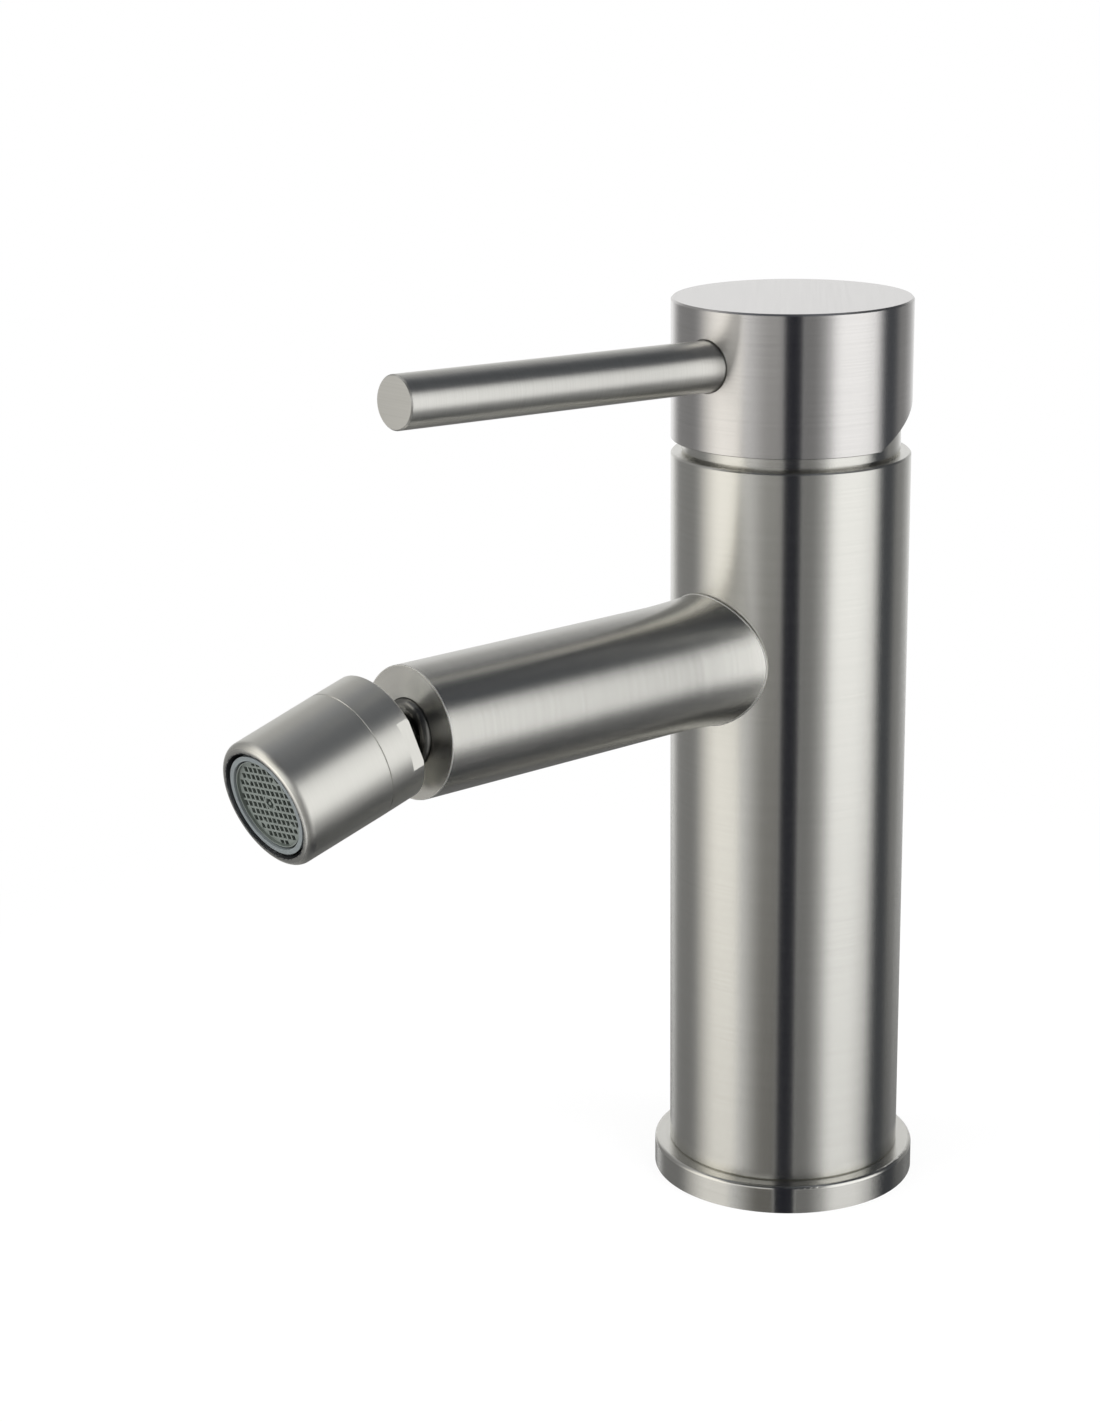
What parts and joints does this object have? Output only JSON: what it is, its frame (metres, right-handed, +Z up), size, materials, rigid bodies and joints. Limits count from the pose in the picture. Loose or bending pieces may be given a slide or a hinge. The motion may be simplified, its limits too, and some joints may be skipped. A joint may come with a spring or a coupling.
{
  "type": "bidet mixer",
  "caption": "Single-lever bidet mixer: round body on a base flange, handle cap with a pin lever, straight spout and a ball-jointed aerator nozzle.",
  "frame": {"origin": "centre of the base flange's underside, on the deck that the mixer stands on", "axes": "+Z up along the body's axis, -Y towards the spout and the closed lever, +X to the right seen from the spout's side"},
  "size_m": [0.051, 0.1526, 0.1734],
  "materials": {
    "brushed_steel": "stainless steel, brushed round each turned piece",
    "bright_steel": "drawn stainless steel",
    "brass": "machined brass",
    "rubber": "black seal rubber",
    "ceramic": "lapped alumina",
    "white_plastic": "moulded acetal",
    "grey_plastic": "moulded grey acetal",
    "grid_plastic": "moulded grey-green acetal"
  },
  "bodies": {
    "fixture": {"body": "brushed_steel", "base_flange": "brushed_steel", "deck_seal": "rubber", "spout": "brushed_steel", "spout_seal": "rubber", "cartridge_base": "white_plastic", "cartridge_seals": "rubber", "fixed_disc": "ceramic", "cartridge_housing": "white_plastic", "cartridge_o_ring": "rubber", "clamp_nut": "brass", "bonnet_ring": "brushed_steel", "ball_nipple": "brushed_steel", "nipple_seal": "rubber"},
    "rotor": {"rotor": "white_plastic", "rotor_o_ring": "rubber", "pivot_pin": "bright_steel"},
    "slider": {"moving_disc": "ceramic", "disc_carrier": "grey_plastic"},
    "handle": {"stem": "brass", "handle_cap": "brushed_steel", "lever": "brushed_steel", "grub_screw": "bright_steel", "index_plug": "grey_plastic"},
    "swivel_pitch": {"ball_seat": "grey_plastic"},
    "swivel_yaw": {"ball_seal": "rubber"},
    "nozzle": {"nozzle_nut": "brushed_steel", "nozzle_shell": "brushed_steel", "aerator_washer": "rubber", "aerator_housing": "grey_plastic", "inlet_screen": "white_plastic", "flow_straightener": "white_plastic", "outlet_grid": "grid_plastic"}
  },
  "joints": [
    {"name": "handle_turn", "type": "hinge", "parent": "fixture", "child": "rotor", "pos_m": [0, 0, 0.146], "axis": [0, 0, 1], "range_deg": [-45, 45]},
    {"name": "lever_lift", "type": "hinge", "parent": "rotor", "child": "handle", "pos_m": [0, 0, 0.146], "axis": [-1, 0, 0], "range_deg": [0, 25]},
    {"name": "disc_slide", "type": "slide", "parent": "rotor", "child": "slider", "axis": [0, -1, 0], "range_m": [0, 0.0051]},
    {"name": "nozzle_tilt", "type": "hinge", "parent": "fixture", "child": "swivel_pitch", "pos_m": [0, -0.102, 0.10851], "axis": [-1, 0, 0], "range_deg": [-5, 39]},
    {"name": "nozzle_sway", "type": "hinge", "parent": "swivel_pitch", "child": "swivel_yaw", "pos_m": [0, -0.102, 0.10851], "axis": [0, -0.279, 0.9603], "range_deg": [-20, 20]},
    {"name": "nozzle_spin", "type": "hinge", "parent": "swivel_yaw", "child": "nozzle", "pos_m": [0, -0.102, 0.10851], "axis": [0, -0.9603, -0.279], "continuous": true}
  ],
  "couplings": [
    {"joint": "disc_slide", "follows": "lever_lift", "m_per_rad": 0.01155}
  ]
}
